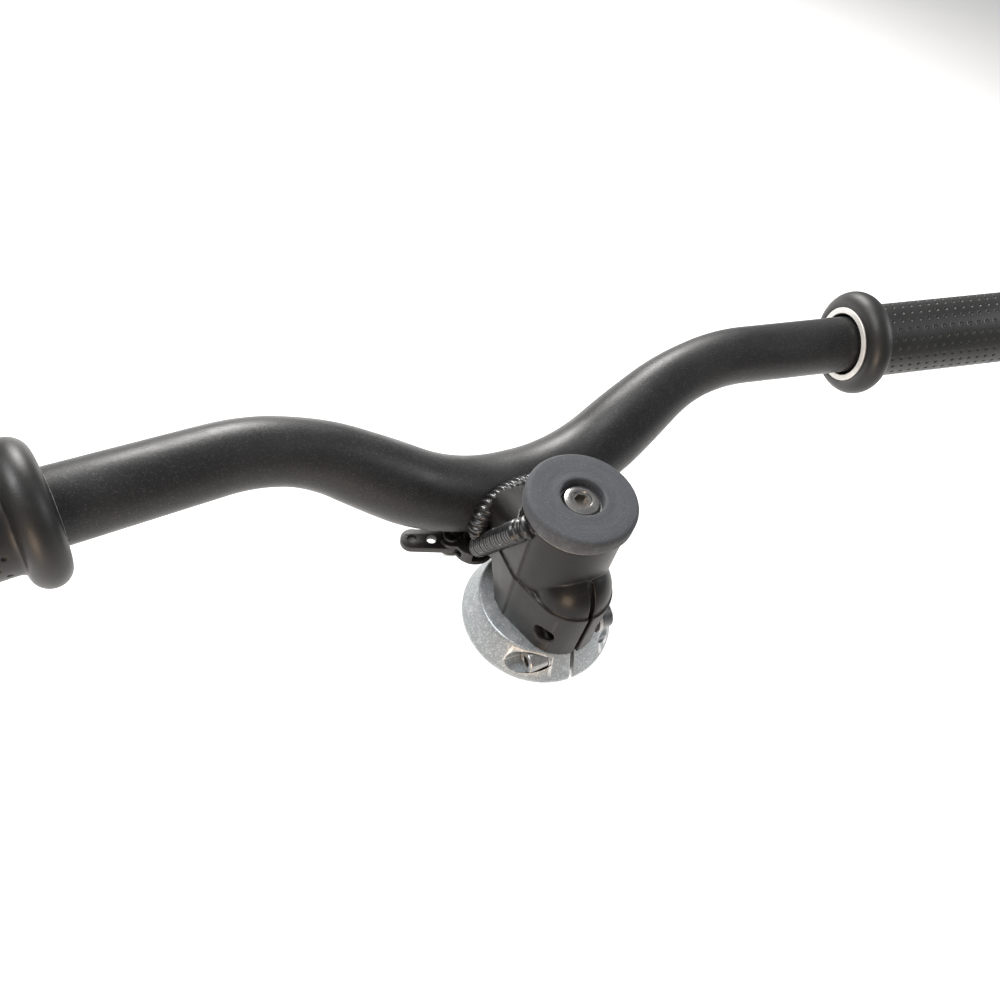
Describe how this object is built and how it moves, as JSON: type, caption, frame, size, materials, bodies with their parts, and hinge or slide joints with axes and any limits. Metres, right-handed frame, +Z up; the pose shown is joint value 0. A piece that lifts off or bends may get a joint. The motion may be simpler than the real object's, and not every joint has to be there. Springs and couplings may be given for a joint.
{
  "type": "bicycle handlebar stem",
  "caption": "Welded riser handlebar and slotted steerer clamp with cap pad, lock collar, grips and small reflector bracket.",
  "frame": {"origin": "steerer axis at the foot of the steerer clamp", "axes": "+Z up along the steerer, +Y forward to the bar, +X to the rider's right along the bar"},
  "size_m": [0.4482, 0.0766, 0.0914],
  "materials": {
    "bar_black": "satin black powder coat with a fine sparkle",
    "clamp_black": "semi-gloss black anodised forging",
    "weld_black": "ripple weld bead under black coating",
    "black_steel": "black oxide steel",
    "zinc": "zinc-plated steel",
    "stainless": "stainless steel",
    "plate_steel": "pressed steel",
    "pad_rubber": "fine-grained grey-black rubber",
    "seal_rubber": "matt black rubber",
    "grip_rubber": "soft dimpled black rubber",
    "collar_silver": "bead-blasted clear-anodised aluminium",
    "ring_silver": "silver-grey gloss",
    "bracket_plastic": "dark grey moulded plastic"
  },
  "bodies": {
    "stem": {"handlebar": "bar_black", "stem_extension": "bar_black", "steerer_clamp": "clamp_black", "bar_weld": "weld_black", "clamp_weld": "weld_black", "star_nut_core": "zinc", "star_nut_springs": "zinc", "grip_left": "grip_rubber", "grip_right": "grip_rubber", "grip_ring_left": "ring_silver", "grip_ring_right": "ring_silver", "bracket_base": "bracket_plastic", "bracket_screw": "zinc", "bracket_bolt": "black_steel", "bracket_nut": "zinc"},
    "cap": {"cap_pad": "pad_rubber", "cap_plate": "plate_steel", "pad_cup": "zinc"},
    "cap_screw": {"cap_bolt": "stainless"},
    "pinch_seat": {"pinch_washer": "zinc"},
    "pinch_screw": {"pinch_bolt": "black_steel"},
    "collar": {"lock_collar": "collar_silver", "collar_seal": "seal_rubber"},
    "collar_seat": {"collar_washer": "zinc"},
    "collar_screw": {"collar_bolt": "stainless"},
    "reflector_arm": {"bracket_arm": "bracket_plastic"}
  },
  "joints": [
    {"name": "cap_lift", "type": "slide", "parent": "stem", "child": "cap", "axis": [0, 0, 1], "range_m": [0, 0.005]},
    {"name": "cap_bolt_turn", "type": "hinge", "parent": "cap", "child": "cap_screw", "pos_m": [0, 0, 0.047], "axis": [0, 0, 1], "range_deg": [0, 1800]},
    {"name": "pinch_back", "type": "slide", "parent": "stem", "child": "pinch_seat", "axis": [1, 0, 0], "range_m": [0, 0.0024]},
    {"name": "pinch_bolt_turn", "type": "hinge", "parent": "pinch_seat", "child": "pinch_screw", "pos_m": [0, -0.01585, 0.0086], "axis": [1, 0, 0], "range_deg": [0, 1080]},
    {"name": "collar_drop", "type": "slide", "parent": "stem", "child": "collar", "axis": [0, 0, 1], "range_m": [-0.03, 0]},
    {"name": "collar_bolt_back", "type": "slide", "parent": "collar", "child": "collar_seat", "axis": [-1, 0, 0], "range_m": [0, 0.0021]},
    {"name": "collar_bolt_turn", "type": "hinge", "parent": "collar_seat", "child": "collar_screw", "pos_m": [0, -0.01735, -0.0047], "axis": [-1, 0, 0], "range_deg": [0, 1080]},
    {"name": "arm_swing", "type": "hinge", "parent": "stem", "child": "reflector_arm", "pos_m": [-0.02193, 0.02607, 0.00235], "axis": [0, 0, 1], "range_deg": [-5, 35]}
  ],
  "couplings": [
    {"joint": "cap_bolt_turn", "follows": "cap_lift", "rad_per_m": 6283.2},
    {"joint": "pinch_bolt_turn", "follows": "pinch_back", "rad_per_m": 7854},
    {"joint": "collar_bolt_turn", "follows": "collar_bolt_back", "rad_per_m": 8976}
  ]
}
